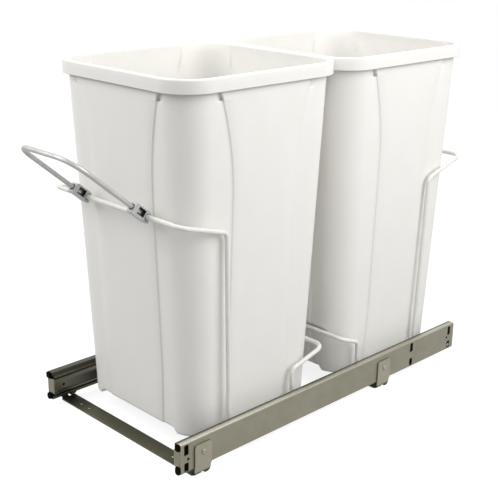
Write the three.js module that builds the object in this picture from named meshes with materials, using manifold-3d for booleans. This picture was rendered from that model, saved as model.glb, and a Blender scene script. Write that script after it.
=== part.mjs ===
// Pull-out waste unit for a kitchen base cabinet: two rectangular bins stand in a wire
// carriage that runs on a pair of three-section ball-bearing slides, joined by two cross strips.
// Millimetres. X to the right, Y to the rear, Z up.

import * as THREE from 'three';
import { mergeVertices } from 'three/addons/utils/BufferGeometryUtils.js';
import Module from 'manifold-3d';

const wasm = await Module();
wasm.setup();

// ------------------------------------------------------------------ driving sizes

const restGap = 0.3; // between pieces that rest on or pass through each other

// Slides. Heights are measured from their bottom edge, lengths from their front end.
const slideLength = 559;
const slideHeight = 41;
const slideThickness = 12.7;
const slideSpan = 281.2; // over the outer faces of both slides
const memberSheet = 1.5;
const memberBend = 1.4; // bend radius on the centre line of the sheet
const extensionLoss = 12; // slide length less full travel
const cabinetLip = 5;
const cabinetLipInset = 1.6; // from the inner face of the slide
const intermediateLip = 4.4;
const intermediateLipInset = 2.2;
const intermediateSetback = 3; // behind the front end of the slide
const retainerSheet = 0.6;
const ballDiameter = 3.7;
const ballClearance = 0.15;
const ballLipGap = 0.35;
const ballsPerRow = 4;
const ballSides = 6;
const ballRings = 4;
const ballEndMargin = 12; // from the end of a retainer to its first ball
const retainerReach = 1.2; // of a retainer's flange past the middle of its balls
const stopInset = 24; // of a stop lug from the end of its member
const stopLength = 2;
const stopHeight = 6;
const stopClearance = 1;
const tabHalf = 10.7; // front tab of the drawer member, either side of mid height
const bumperInner = 11.2; // from mid height
const bumperHead = 2.2;
const bumperDepth = 8.2; // from the slide's outer face
const bumperRadius = 3;
const tongueRear = 13.2; // rear end of the bumper's tongue behind the front slots
const tongueLow = [3.4, -0.3]; // where the tongue starts from mid height, upper bumper and lower bumper
const slotWidth = 7;
const slotCorner = 1.5;
const slotSetback = 9; // from the front end
const slotRearSetbacks = [107, 12]; // from the rear end
const upperSlot = [24, 38]; // heights
const lowerSlot = [1.6, 13.8];
const memberHole = 4;
const memberHoleFront = [12, 18]; // from the front end, height
const memberHoleRear = [17, 20.7]; // from the rear end, height
const drawerHolePlace = [17, 19.3];
const drawerHole = 4.4;

// Cross strips with their bent-up end plates, and the rivets through these.
const stripSheet = 2;
const stripWidth = 22;
const stripDrop = 9.4; // underside below the slides
const stripCentre = 30.5; // of the front strip, along the slide
const rearStripSetback = 178; // from the slide's rear end
const stripBend = 3.5; // on the centre line of the sheet
const strapStart = 21.5; // front edge of the end plate, along the slide
const strapWidth = 10;
const plateWidth = 27;
const plateTop = 32;
const plateCorner = 4;
const lobeRadius = 7;
const lobeSetback = 1.6; // from the rear edge of the plate
const notchRise = 5; // above the underside of the strip
const screwHole = 5;
const screwHolePlaces = [89, 107]; // either side of the middle
const rivetPlace = [36, 19.9]; // along the slide, height
const rivetShank = 4;
const rivetHead = 8;
const rivetDome = 1.9;
const fastenerSides = 8;
const holeSides = 8;

// Side rails on the drawer members, and their screws.
const railSheet = 2.5;
const railLow = 8;
const railHigh = 32;
const railFrontReach = 69.6; // ahead of the middle of the front bin
const railRearReach = 71.1; // behind the middle of the rear bin
const railCorner = 5;
const railScrewReach = 25; // of the end screws past the middles of the bins
const railScrewShank = 3.6;
const railScrewHead = 7.4;
const railScrewHeadHeight = 2.2;
const railScrewTip = 2.4; // past the drawer member

// Bins
const binFront = 17.9; // front of the front bin's rim, along the slide
const binRearReach = 6.6; // of the rear bin's rim past the slides
const binRimGap = 0.9; // between the rims
const binFoot = 15.2; // height of the feet
const binFootHeight = 6.7;
const binRimTop = 469;
const binSkirt = 16.4;
const binRimOverhang = [5.4, 5.2]; // of the rim past the wall under it, to the sides and to the ends
const binTaper = [11.6, 20.8]; // lessening of the half width and half length down to the feet
const binHoopInset = 1.2; // of the wall under the rim from the middle of the hoop wires
const binRimRadius = 45;
const binRimWall = 2.2;
const binRimRound = 1.6;
const binChannel = 10; // depth of the channel between rim and wall
const binTopRadius = 43; // outer wall under the rim
const binBottomRadius = 37;
const binWall = 2.4;
const binFloorFillet = 6;
const columnRelief = 1.2; // how far the corner columns lie behind the side panels
const creaseMargin = [17.2, 23.2]; // from a panel's edge to the round corner, at the feet
const creaseTopMargin = [2.8, 14]; // the same under the rim
const creaseFlareStart = 322;
const creaseSlope = 1.6;
const pocketWidth = 12; // recess beside each crease under the rim
const pocketDepth = 3;
const pocketFloor = 441;
const pocketLedge = 0.8;
const pocketFade = 6; // height over which a recess runs out above the skirt
const footWidth = 28;
const footEdge = 1.3; // rounding of the bottom edge
const floorRecess = 0.4;

// Wires
const wire = 6;
const wireSides = 8;
const bendSteps = 4;
const legLift = 1; // wire ends above the lower edge of the rails
const legBow = 30;
const legBowHeight = 40;
const shoulderBend = 9;
const hoopCorner = 13;
const hoopSpread = 3.2; // of the shoulders and corners past the legs, to either side
const frontLegReach = [58.3, 66.6]; // ahead of the middle of the front bin, at the rail and at the shoulder
const frontShoulder = 284;
const frontBar = [17.3, 304]; // along the slide, height
const rearLegReach = [51.6, 58.1]; // behind the middle of the rear bin
const rearShoulder = 282;
const rearBarReach = 3; // past the slide's rear end
const rearBarHeight = 305;
const keeperSpread = 0.7;
const keeperBarGap = 6.8; // from a bin's foot to the middle of its bar
const frontKeeperLeg = [58, 56.6]; // from the middle of the bin, at the rail and at the shoulder
const frontKeeperShoulder = 66;
const frontKeeperHeight = 83;
const rearKeeperLeg = [81.7, 81.9];
const rearKeeperShoulder = 65.5;
const rearKeeperHeight = 79.5;
const floorWireOffset = 40; // from the middle of a bin

// Handle on the front bar. Its sizes are along the handle from the bar, and across it.
const handleAngle = 39.7; // degrees above level
const handleReach = 126.4;
const handleHalf = 59; // half width at the clamps
const handleTipHalf = 55.8;
const handleWire = 6;
const handleBend = 29;
const handleEase = 40; // bend radius where the arms turn inwards
const handleStraight = 4; // straight run of an arm outside its clamp
const clampWidth = 11;
const clampHeight = 14;
const clampLength = 24;
const clampWireInset = 14; // length of wire inside the clamp
const clampTailRadii = [2, 3]; // of the end round the wire, below and above
const clampCollar = [1.2, 1.5]; // recess round the wire at its entry: width, depth
const clampJaws = [5.7, 4]; // reach of the lower and the upper jaw past the middle of the bar
const clampJawRadii = [2.5, 1.2, 4]; // lower tip, upper tip, upper shoulder
const clampJawLevel = 3.8; // of the upper jaw's tip
const clampMouth = 5.2; // narrower than the bar, so the jaws snap over it
const clampWindow = [5.4, 17.4]; // pocket in each side, past the bar
const clampWindowLevels = [-3.8, 5];
const clampWindowDepth = 4;
const clampSteps = 3;
const clampBoreSides = 12;

// ------------------------------------------------------------------ sizes that follow

const slideHalf = slideSpan / 2;
const slideMiddle = slideHeight / 2;
const travel = slideLength - extensionLoss;
const drawerFace = slideHalf - slideThickness; // inner face of a slide, from the middle plane

// Depth of each layer of a slide, from its outer face inwards, on the centre line of its sheet
const cabinetWeb = memberSheet / 2;
const outerRetainerWeb = memberSheet + restGap + retainerSheet / 2;
const intermediateWeb = outerRetainerWeb + retainerSheet / 2 + restGap + memberSheet / 2;
const innerRetainerWeb = intermediateWeb + memberSheet / 2 + restGap + retainerSheet / 2;
const drawerWeb = slideThickness - memberSheet / 2;
const drawerFlangeTip = innerRetainerWeb + retainerSheet / 2 + restGap;
const cabinetLipDepth = slideThickness - cabinetLipInset - memberSheet / 2;
const intermediateLipDepth = slideThickness - intermediateLipInset - memberSheet / 2;

// Half height of each layer
const raceway = ballDiameter + 2 * ballClearance;
const intermediateHalf = slideMiddle - memberSheet - raceway;
const drawerHalf = intermediateHalf - memberSheet - raceway;
const outerRow = slideMiddle - memberSheet - raceway / 2;
const innerRow = intermediateHalf - memberSheet - raceway / 2;
const outerBallDepth = cabinetLipDepth - memberSheet / 2 - ballLipGap - ballDiameter / 2;
const innerBallDepth = intermediateLipDepth - memberSheet / 2 - ballLipGap - ballDiameter / 2;

// A retainer just reaches from one stop lug to the other at full travel
const retainerLength = slideLength - travel / 2 - 2 * (stopInset + stopClearance);

const stripUnderside = -stripDrop;
const stripMiddleLine = stripUnderside + stripSheet / 2;
const plateMiddleLine = slideHalf + stripSheet / 2;
const railFace = drawerFace - railSheet;
const stripPitch = slideLength - rearStripSetback - stripCentre;
const slotCentres = [slotSetback, ...slotRearSetbacks.map((setback) => slideLength - setback)];
const memberHoles = [memberHoleFront, [slideLength - memberHoleRear[0], memberHoleRear[1]]];

// The hoops stand between the rails, and the bins between the hoops
const legHalf = railFace - restGap - wire / 2;
const hoopHalf = legHalf + hoopSpread;
const keeperHalf = legHalf + keeperSpread;
const binTopHalf = [
  hoopHalf - binHoopInset,
  (slideLength + binRearReach - binFront - binRimGap) / 4 - binRimOverhang[1],
];
const binRimHalf = binTopHalf.map((half, i) => half + binRimOverhang[i]);
const binBottomHalf = binTopHalf.map((half, i) => half - binTaper[i]);
const frontBinCentre = binFront + binRimHalf[1];
const rearBinCentre = slideLength + binRearReach - binRimHalf[1];
const binCentres = [frontBinCentre, rearBinCentre];
const creaseHalf = binBottomHalf.map((half, i) => half - binBottomRadius - creaseMargin[i]);
const creaseTopHalf = binTopHalf.map((half, i) => half - binTopRadius - creaseTopMargin[i]);
const rearBar = [slideLength + rearBarReach, rearBarHeight];
const frontLeg = frontLegReach.map((reach) => frontBinCentre - reach);
const rearLeg = rearLegReach.map((reach) => rearBinCentre + reach);
const railFront = frontBinCentre - railFrontReach;
const railRear = rearBinCentre + railRearReach;
const railScrewPlaces = [
  frontBinCentre - railScrewReach,
  (railFront + railRear) / 2,
  rearBinCentre + railScrewReach,
];
const keeperReach = binBottomHalf[1] + keeperBarGap;
const binUnderside = binFoot + binFootHeight;
const floorWireHeight = binUnderside - restGap - wire / 2;
const binRimBottom = binRimTop - binSkirt;
const binFloorTop = binUnderside + floorRecess + binWall;

// ------------------------------------------------------------------ shape helpers

function rectangle([x0, x1], [y0, y1]) {
  return [[x0, y0], [x1, y0], [x1, y1], [x0, y1]];
}

function circle(centre, diameter, sides) {
  return Array.from({ length: sides }, (_, i) => {
    const angle = ((i + 0.5) / sides) * 2 * Math.PI;
    return [centre[0] + (diameter / 2) * Math.cos(angle), centre[1] + (diameter / 2) * Math.sin(angle)];
  });
}

// Rounds the corners of a path. A corner is [x, y, z, radius]; a closed path has no ends.
function roundedPath(corners, steps, closed = false) {
  const at = corners.map(([x, y, z]) => new THREE.Vector3(x, y, z));
  return at.flatMap((corner, i) => {
    const radius = corners[i][3];
    const isEnd = !closed && (i === 0 || i === at.length - 1);
    if (isEnd || !radius) return [corner];
    const back = at[(i + at.length - 1) % at.length].clone().sub(corner).normalize();
    const on = at[(i + 1) % at.length].clone().sub(corner).normalize();
    const half = back.angleTo(on) / 2;
    const centre = corner.clone().addScaledVector(back.clone().add(on).normalize(), radius / Math.sin(half));
    const start = corner.clone().addScaledVector(back, radius / Math.tan(half)).sub(centre);
    const end = corner.clone().addScaledVector(on, radius / Math.tan(half)).sub(centre);
    const sweep = Math.PI - 2 * half;
    return Array.from({ length: steps + 1 }, (_, k) => centre.clone()
      .addScaledVector(start, Math.sin((1 - k / steps) * sweep) / Math.sin(sweep))
      .addScaledVector(end, Math.sin((k / steps) * sweep) / Math.sin(sweep)));
  });
}

function roundedOutline(corners, steps = 2) {
  const path = roundedPath(corners.map(([x, y, radius = 0]) => [x, y, 0, radius]), steps, true);
  return path.map((point) => [point.x, point.y]);
}

// Outline of a sheet of even thickness that follows a bent centre line in a plane
function sheetOutline(corners, sheet, steps = 2) {
  const path = roundedPath(corners.map(([x, y, radius = 0]) => [x, y, 0, radius]), steps);
  const offsets = path.map((point, i) => {
    const back = point.clone().sub(path[Math.max(i - 1, 0)]).normalize();
    const on = path[Math.min(i + 1, path.length - 1)].clone().sub(point).normalize();
    const along = back.add(on).normalize();
    const turn = on.lengthSq() ? along.dot(on) : 1;
    return new THREE.Vector3(-along.y, along.x, 0).multiplyScalar(sheet / 2 / turn);
  });
  const left = path.map((point, i) => [point.x + offsets[i].x, point.y + offsets[i].y]);
  const right = path.map((point, i) => [point.x - offsets[i].x, point.y - offsets[i].y]);
  return [...left, ...right.reverse()];
}

function extrude(outline, depth, xAxis, yAxis) {
  const shape = new THREE.Shape(outline.map(([x, y]) => new THREE.Vector2(x, y)));
  const geometry = new THREE.ExtrudeGeometry(shape, { depth, bevelEnabled: false });
  const basis = new THREE.Matrix4().makeBasis(xAxis, yAxis, xAxis.clone().cross(yAxis));
  return geometry.applyMatrix4(basis);
}

const axisX = new THREE.Vector3(1, 0, 0);
const axisY = new THREE.Vector3(0, 1, 0);
const axisZ = new THREE.Vector3(0, 0, 1);

// Outline in Y and Z, drawn out along X
function extrudeX(outline, [x0, x1]) {
  return extrude(outline, x1 - x0, axisY, axisZ).translate(x0, 0, 0);
}

// Outline in X and Z, drawn out along Y
function extrudeY(outline, [y0, y1]) {
  return extrude(outline, y1 - y0, axisX, axisZ).translate(0, y1, 0);
}

// Outline in X and Y, drawn out along Z
function extrudeZ(outline, [z0, z1]) {
  return extrude(outline, z1 - z0, axisX, axisY).translate(0, 0, z0);
}

function toSolid(geometry) {
  const bare = geometry.clone();
  bare.deleteAttribute('normal');
  bare.deleteAttribute('uv');
  const merged = mergeVertices(bare);
  return new wasm.Manifold(new wasm.Mesh({
    numProp: 3,
    vertProperties: Float32Array.from(merged.attributes.position.array),
    triVerts: Uint32Array.from(merged.index.array),
  }));
}

function toGeometry(solid) {
  const mesh = solid.getMesh();
  const geometry = new THREE.BufferGeometry();
  geometry.setAttribute('position', new THREE.BufferAttribute(mesh.vertProperties, 3));
  geometry.setIndex(new THREE.BufferAttribute(mesh.triVerts, 1));
  geometry.computeVertexNormals();
  return geometry;
}

function join(geometries) {
  return toGeometry(geometries.map(toSolid).reduce((whole, piece) => whole.add(piece)));
}

function cut(geometry, cutters) {
  return toGeometry(cutters.map(toSolid).reduce((whole, piece) => whole.subtract(piece), toSolid(geometry)));
}

// Turned piece whose axis runs along X from a face at x = 0
function turnedX(profile, sides, side, [x, y, z]) {
  const points = profile.map(([radius, along]) => new THREE.Vector2(radius, along));
  const turned = new THREE.LatheGeometry(points, sides);
  return turned.rotateZ(-side * Math.PI / 2).translate(x, y, z);
}

// A path of straight runs and bends that an outline is drawn along, one ring at each point
class BentPath extends THREE.Curve {
  constructor(points) {
    super();
    this.points = points;
  }

  getSpacedPoints() {
    return this.points;
  }

  getTangentAt(along, target = new THREE.Vector3()) {
    const last = this.points.length - 1;
    const i = Math.round(along * last);
    const here = this.points[i];
    const back = here.clone().sub(this.points[Math.max(i - 1, 0)]).normalize();
    const on = this.points[Math.min(i + 1, last)].clone().sub(here).normalize();
    return target.addVectors(back, on).normalize();
  }
}

function bentWire(corners, diameter) {
  const points = roundedPath(corners, bendSteps);
  const outline = circle([0, 0], diameter, wireSides);
  const section = new THREE.Shape(outline.map(([x, y]) => new THREE.Vector2(x, y)));
  const path = new BentPath(points);
  return new THREE.ExtrudeGeometry(section, { steps: points.length - 1, extrudePath: path });
}

// The corners of half a wire, from its right end to the middle plane, and their mirror image
function mirrored(half) {
  const other = half.map(([x, y, z, radius]) => [-x, y, z, radius]).reverse();
  return [...half, ...other];
}

// ------------------------------------------------------------------ slides

// Layers of a slide are drawn as depth from its outer face and height from its middle
function channel({ web, half, tip, lip, sheet }) {
  const level = half - sheet / 2;
  const ends = lip ? [[tip, level, memberBend], [tip, half - lip]] : [[tip, level]];
  const upper = [[web, level, memberBend], ...ends];
  const lower = upper.map(([x, y, radius]) => [x, -y, radius]).reverse();
  return sheetOutline([...lower, ...upper], sheet);
}

function slideX(side, depth) {
  return side * (slideHalf - depth);
}

function slideSpanX(side, depths) {
  return depths.map((depth) => slideX(side, depth)).sort((a, b) => a - b);
}

function slideLayer(side, outline, run) {
  return extrudeY(outline.map(([depth, height]) => [slideX(side, depth), slideMiddle + height]), run);
}

function slideBlock(side, depths, run, heights) {
  const levels = heights.map((height) => slideMiddle + height);
  return extrudeX(rectangle(run, levels), slideSpanX(side, depths));
}

function holeThrough(side, depths, place, diameter) {
  return extrudeX(circle(place, diameter, holeSides), slideSpanX(side, depths));
}

const throughWeb = [-1, memberSheet + restGap / 2]; // depths of a cutter through a cabinet member's web

function slotCutter(side, centre, [low, high]) {
  const [front, rear] = [centre - slotWidth / 2, centre + slotWidth / 2];
  const corners = rectangle([front, rear], [low, high]).map(([y, z]) => [y, z, slotCorner]);
  return extrudeX(roundedOutline(corners), slideSpanX(side, throughWeb));
}

function rivetPlaces() {
  return [0, stripPitch].map((shift) => [rivetPlace[0] + shift, rivetPlace[1]]);
}

function cabinetMember(side) {
  const section = channel({
    web: cabinetWeb, half: slideMiddle, tip: cabinetLipDepth, lip: cabinetLip, sheet: memberSheet,
  });
  const slots = slotCentres.flatMap((centre) => (
    [upperSlot, lowerSlot].map((slot) => slotCutter(side, centre, slot))));
  const holes = memberHoles.map((place) => holeThrough(side, throughWeb, place, memberHole));
  const rivets = rivetPlaces().map((place) => holeThrough(side, throughWeb, place, rivetShank + 2 * restGap));
  const stopRun = [stopInset - stopLength, stopInset];
  const stop = slideBlock(side, [cabinetWeb, intermediateWeb - memberSheet / 2 - restGap], stopRun,
    [-stopHeight / 2, stopHeight / 2]);
  return cut(join([slideLayer(side, section, [0, slideLength]), stop]), [...slots, ...holes, ...rivets]);
}

function intermediateMember(side) {
  const section = channel({
    web: intermediateWeb, half: intermediateHalf, tip: intermediateLipDepth, lip: intermediateLip,
    sheet: memberSheet,
  });
  const heights = [-stopHeight / 2, stopHeight / 2];
  const rearRun = [slideLength - stopInset, slideLength - stopInset + stopLength];
  const rearStop = slideBlock(side, [memberSheet + restGap, intermediateWeb], rearRun, heights);
  const frontRun = [stopInset - stopLength, stopInset];
  const frontStopDepths = [intermediateWeb, innerRetainerWeb + retainerSheet / 2];
  const frontStop = slideBlock(side, frontStopDepths, frontRun, heights);
  const body = slideLayer(side, section, [intermediateSetback, slideLength]);
  return join([body, rearStop, frontStop]);
}

function drawerMember(side) {
  const section = channel({ web: drawerWeb, half: drawerHalf, tip: drawerFlangeTip, sheet: memberSheet });
  const rearRun = [slideLength - stopInset, slideLength - stopInset + stopLength];
  const lug = slideBlock(side, [innerRetainerWeb - retainerSheet / 2, drawerWeb], rearRun,
    [-stopHeight / 2, stopHeight / 2]);
  const tabDepths = [memberSheet + restGap, slideThickness];
  const tab = slideBlock(side, tabDepths, [0, memberSheet], [-tabHalf, tabHalf]);
  const holeDepths = [slideThickness - 2 * memberSheet, slideThickness + 1];
  const holes = [
    holeThrough(side, holeDepths, drawerHolePlace, drawerHole),
    ...railScrewPlaces.map((y) => (
      holeThrough(side, holeDepths, [y, slideMiddle], railScrewShank + 2 * restGap))),
  ];
  return cut(join([slideLayer(side, section, [0, slideLength]), lug, tab]), holes);
}

// A U-shaped cage with a row of balls in each flange
function ballRetainer(side, { web, row, ballDepth }) {
  const section = channel({
    web, half: row + retainerSheet / 2, tip: ballDepth + retainerReach, sheet: retainerSheet,
  });
  const start = (slideLength - retainerLength) / 2;
  const pitch = (retainerLength - 2 * ballEndMargin) / (ballsPerRow - 1);
  const balls = [-row, row].flatMap((height) => Array.from({ length: ballsPerRow }, (_, i) => {
    const ball = new THREE.SphereGeometry(ballDiameter / 2, ballSides, ballRings);
    return ball.translate(slideX(side, ballDepth), start + ballEndMargin + i * pitch, slideMiddle + height);
  }));
  return join([slideLayer(side, section, [start, start + retainerLength]), ...balls]);
}

const retainers = {
  outer: { web: outerRetainerWeb, row: outerRow, ballDepth: outerBallDepth },
  inner: { web: innerRetainerWeb, row: innerRow, ballDepth: innerBallDepth },
};

// Moulded end piece on the front of an intermediate member, above or below the drawer member,
// with a thin tongue between the webs that closes the front slots
function frontBumper(side, end) {
  const clear = slideMiddle - memberSheet - restGap;
  const plugDepths = [memberSheet + memberBend, cabinetLipDepth - memberSheet / 2 - memberBend];
  const plug = slideBlock(side, plugDepths, [-bumperHead, intermediateSetback - restGap],
    [end * bumperInner, end * clear].sort((a, b) => a - b));
  const headCorners = rectangle([0, bumperDepth], [bumperInner, slideMiddle]).map(([depth, height]) => (
    [slideX(side, depth), slideMiddle + end * height, bumperRadius]));
  const head = extrudeY(roundedOutline(headCorners), [-bumperHead - restGap, -restGap]);
  const tongueFront = memberSheet + restGap;
  const start = end > 0 ? tongueLow[0] : tongueLow[1];
  const tongueCorners = [
    [-restGap, bumperInner], [tongueFront, bumperInner], [tongueFront, start], [tongueRear, start],
    [tongueRear, clear - restGap], [-restGap, clear - restGap],
  ].map(([y, height]) => [y, slideMiddle + end * height]);
  const tongueDepths = slideSpanX(side, [memberSheet + restGap, memberSheet + restGap + retainerSheet]);
  const tongue = extrudeX(end > 0 ? tongueCorners : tongueCorners.reverse(), tongueDepths);
  const bridge = slideBlock(side, [memberSheet + restGap, plugDepths[0] + restGap],
    [-2 * restGap, intermediateSetback - restGap],
    [end * bumperInner, end * (clear - restGap)].sort((a, b) => a - b));
  return join([plug, head, tongue, bridge]);
}

// ------------------------------------------------------------------ cross strips and rivets

function crossStrip(shift) {
  const straps = [strapStart, strapStart + strapWidth].map((y) => y + shift);
  const flatEnd = plateMiddleLine - stripBend;
  const middle = stripCentre + shift;
  const flat = extrudeZ(rectangle([-flatEnd, flatEnd], [middle - stripWidth / 2, middle + stripWidth / 2]),
    [stripUnderside, stripUnderside + stripSheet]);
  const rise = slideMiddle;
  const bends = [-1, 1].map((side) => extrudeY(sheetOutline([
    [side * (flatEnd - stripBend), stripMiddleLine],
    [side * plateMiddleLine, stripMiddleLine, stripBend],
    [side * plateMiddleLine, rise],
  ], stripSheet, 4), straps));
  const plates = [-1, 1].map((side) => endPlate(side, shift));
  const holeSpan = [stripUnderside - 1, stripUnderside + stripSheet + 1];
  const holes = screwHolePlaces.flatMap((x) => [-x, x].map((place) => (
    extrudeZ(circle([place, middle], screwHole, holeSides), holeSpan))));
  const rivetHoles = [-1, 1].map((side) => holeThrough(side, [-2 * stripSheet, 1],
    [rivetPlace[0] + shift, rivetPlace[1]], rivetShank + 2 * restGap));
  return cut(join([flat, ...bends, ...plates]), [...holes, ...rivetHoles]);
}

// Plate against the outer face of a slide, with a rounded lobe that reaches down to the floor
function endPlate(side, shift) {
  const front = strapStart + shift;
  const rear = front + plateWidth;
  const lobeRear = rear - lobeSetback;
  const lobeFront = lobeRear - 2 * lobeRadius;
  const bendTop = stripMiddleLine + stripBend;
  const lobeBend = lobeRadius - restGap;
  const outline = roundedOutline([
    [front, bendTop],
    [front + strapWidth, bendTop],
    [lobeFront, stripUnderside + notchRise],
    [lobeFront, stripUnderside, lobeBend],
    [lobeRear, stripUnderside, lobeBend],
    [lobeRear, 0, lobeSetback / 2],
    [rear, lobeSetback, lobeSetback / 2],
    [rear, plateTop, plateCorner],
    [front, plateTop, plateCorner],
  ], 3);
  return extrudeX(outline, [slideHalf, slideHalf + stripSheet].map((x) => side * x).sort((a, b) => a - b));
}

// Domed rivet through an end plate and the cabinet member behind it
function plateRivet(side, shift) {
  const seat = slideHalf + stripSheet;
  const grip = stripSheet + memberSheet;
  const dome = [0, 30, 60, 90].map((degrees) => {
    const angle = THREE.MathUtils.degToRad(degrees);
    return [rivetHead / 2 * Math.cos(angle), rivetDome * Math.sin(angle)];
  });
  const profile = [[0, -grip], [rivetShank / 2, -grip], [rivetShank / 2, 0], ...dome];
  return turnedX(profile, fastenerSides, side, [side * seat, rivetPlace[0] + shift, rivetPlace[1]]);
}

// ------------------------------------------------------------------ side rails and their screws

function railSpan(side) {
  return [railFace, drawerFace].map((x) => side * x).sort((a, b) => a - b);
}

function sideRail(side) {
  const corners = rectangle([railFront, railRear], [railLow, railHigh]).map(([y, z]) => [y, z, railCorner]);
  const bar = extrudeX(roundedOutline(corners), railSpan(side));
  const [inner, outer] = railSpan(side);
  const holes = railScrewPlaces.map((y) => (
    extrudeX(circle([y, slideMiddle], railScrewShank + 2 * restGap, holeSides), [inner - 1, outer + 1])));
  return cut(bar, holes);
}

function railScrew(side, y) {
  const grip = railSheet + memberSheet + railScrewTip;
  const tip = railScrewShank / 2;
  const profile = [
    [0, -grip], [tip / 2, -grip], [tip, tip - grip], [tip, 0], [railScrewHead / 2, 0],
    [railScrewHead / 2, railScrewHeadHeight / 2], [railScrewHead / 3, railScrewHeadHeight],
    [0, railScrewHeadHeight],
  ];
  return turnedX(profile, fastenerSides, -side, [side * railFace, y, slideMiddle]);
}

// ------------------------------------------------------------------ wires

const wireFoot = railLow + legLift;

// A hoop or keeper: a leg welded to each rail, a shoulder, and a bar across the unit
function hoopWire({ leg, shoulder, bar, half }) {
  return bentWire(mirrored([
    [legHalf, leg[0], wireFoot],
    [legHalf, leg[0], legBowHeight, legBow],
    [half, leg[1], shoulder, shoulderBend],
    [half, bar[0], bar[1], hoopCorner],
  ]), wire);
}

function keeperWire({ leg, shoulder, bar }) {
  return bentWire(mirrored([
    [legHalf, leg[0], wireFoot],
    [legHalf, leg[1], shoulder, shoulderBend],
    [keeperHalf, bar[0], bar[1], hoopCorner],
  ]), wire);
}

function floorWire(y) {
  const end = railFace - restGap;
  return extrudeX(circle([y, floorWireHeight], wire, wireSides), [-end, end]);
}

// ------------------------------------------------------------------ handle, drawn level about the front bar

function handleBail() {
  const turn = -clampLength - handleStraight;
  return bentWire(mirrored([
    [handleHalf, clampWireInset - clampLength, 0],
    [handleHalf, turn, 0, handleEase],
    [handleTipHalf, -handleReach, 0, handleBend],
  ]), handleWire);
}

// Snaps over the bar with two jaws, and shows the end of the wire in a pocket on each side
function handleClamp(side) {
  const middle = side * handleHalf;
  const half = clampWidth / 2;
  const top = clampHeight / 2;
  const [lowerTail, upperTail] = clampTailRadii;
  const [lowerJaw, upperJaw] = clampJaws;
  const [lowerTip, upperTip, shoulder] = clampJawRadii;
  const body = extrudeX(roundedOutline([
    [-clampLength, -top, lowerTail], [lowerJaw, -top, lowerTip], [lowerJaw, 0], [upperJaw, 0],
    [upperJaw, clampJawLevel, upperTip], [clampMouth / 2, top, shoulder], [-clampLength, top, upperTail],
  ], clampSteps), [middle - half, middle + half]);
  const through = [middle - clampWidth, middle + clampWidth];
  const bore = extrudeX(circle([0, 0], wire + 2 * restGap, clampBoreSides), through);
  const mouth = extrudeX(rectangle([0, clampLength], [-clampMouth / 2, clampMouth / 2]), through);
  const socketBore = circle([middle, 0], handleWire + 2 * restGap, clampBoreSides);
  const socket = extrudeY(socketBore, [-2 * clampLength, clampWireInset - clampLength + restGap]);
  const [collarWidth, collarDepth] = clampCollar;
  const collarBore = circle([middle, 0], handleWire + 2 * collarWidth, clampBoreSides);
  const collar = extrudeY(collarBore, [-2 * clampLength, collarDepth - clampLength]);
  const windowRun = clampWindow.map((reach) => -reach).reverse();
  const windows = [-1, 1].map((face) => extrudeX(rectangle(windowRun, clampWindowLevels),
    [middle + face * (half - clampWindowDepth), middle + face * clampWidth].sort((a, b) => a - b)));
  return cut(body, [bore, mouth, socket, collar, ...windows]);
}

// ------------------------------------------------------------------ bins

// Sizes of a bin's outer wall at a height
function bodySizes(height) {
  const share = (height - binFoot) / (binRimBottom - binFoot);
  const half = [0, 1].map((i) => THREE.MathUtils.lerp(binBottomHalf[i], binTopHalf[i], share));
  return { half, radius: THREE.MathUtils.lerp(binBottomRadius, binTopRadius, share) };
}

const rimSizes = { half: binRimHalf, radius: binRimRadius };

function creases(height) {
  const rise = Math.min(height, binRimBottom) - creaseFlareStart;
  const share = Math.max(rise, 0) / (binRimBottom - creaseFlareStart);
  return creaseHalf.map((half, i) => THREE.MathUtils.lerp(half, creaseTopHalf[i], share * share));
}

const arcSteps = 5;
const facePoints = 6;

// One level of a bin: on each face the column's end, the crease, the panel, the crease and the
// next column's start, then the round corner. Every level has as many points.
function binLevel(height, sizes, { inset = 0, relief = 0, pocket = 0, footHeight = height } = {}) {
  const crease = creases(height);
  const radius = sizes.radius - inset;
  const points = [];
  for (let face = 0; face < 4; face += 1) {
    const facesSide = face % 2 === 0;
    const reach = sizes.half[facesSide ? 0 : 1] - inset;
    const span = sizes.half[facesSide ? 1 : 0] - inset;
    const edge = crease[facesSide ? 1 : 0];
    const nextEdge = crease[facesSide ? 0 : 1];
    const turn = (past, straight) => Math.asin(Math.max(past - straight, 0) / radius);
    const fall = (along) => radius * (1 - Math.cos(turn(along, span - radius)));
    const columnEnd = edge + pocketWidth;
    const half = [
      [reach, edge],
      [reach - relief - pocket, edge + creaseSlope],
      [reach - relief - fall(columnEnd), columnEnd],
    ];
    const other = half.map(([out, along]) => [out, -along]).reverse();
    const from = turn(columnEnd, span - radius);
    const to = Math.PI / 2 - turn(nextEdge + pocketWidth, reach - radius);
    const arc = Array.from({ length: arcSteps }, (_, i) => {
      const angle = from + ((i + 0.5) / arcSteps) * (to - from);
      const bend = radius - relief;
      return [reach - radius + bend * Math.cos(angle), span - radius + bend * Math.sin(angle)];
    });
    [...other, ...half, ...arc].forEach(([out, along], i) => {
      const point = new THREE.Vector3(out, along, i < facePoints ? height : footHeight);
      points.push(point.applyAxisAngle(axisZ, face * Math.PI / 2));
    });
  }
  return points;
}

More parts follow.
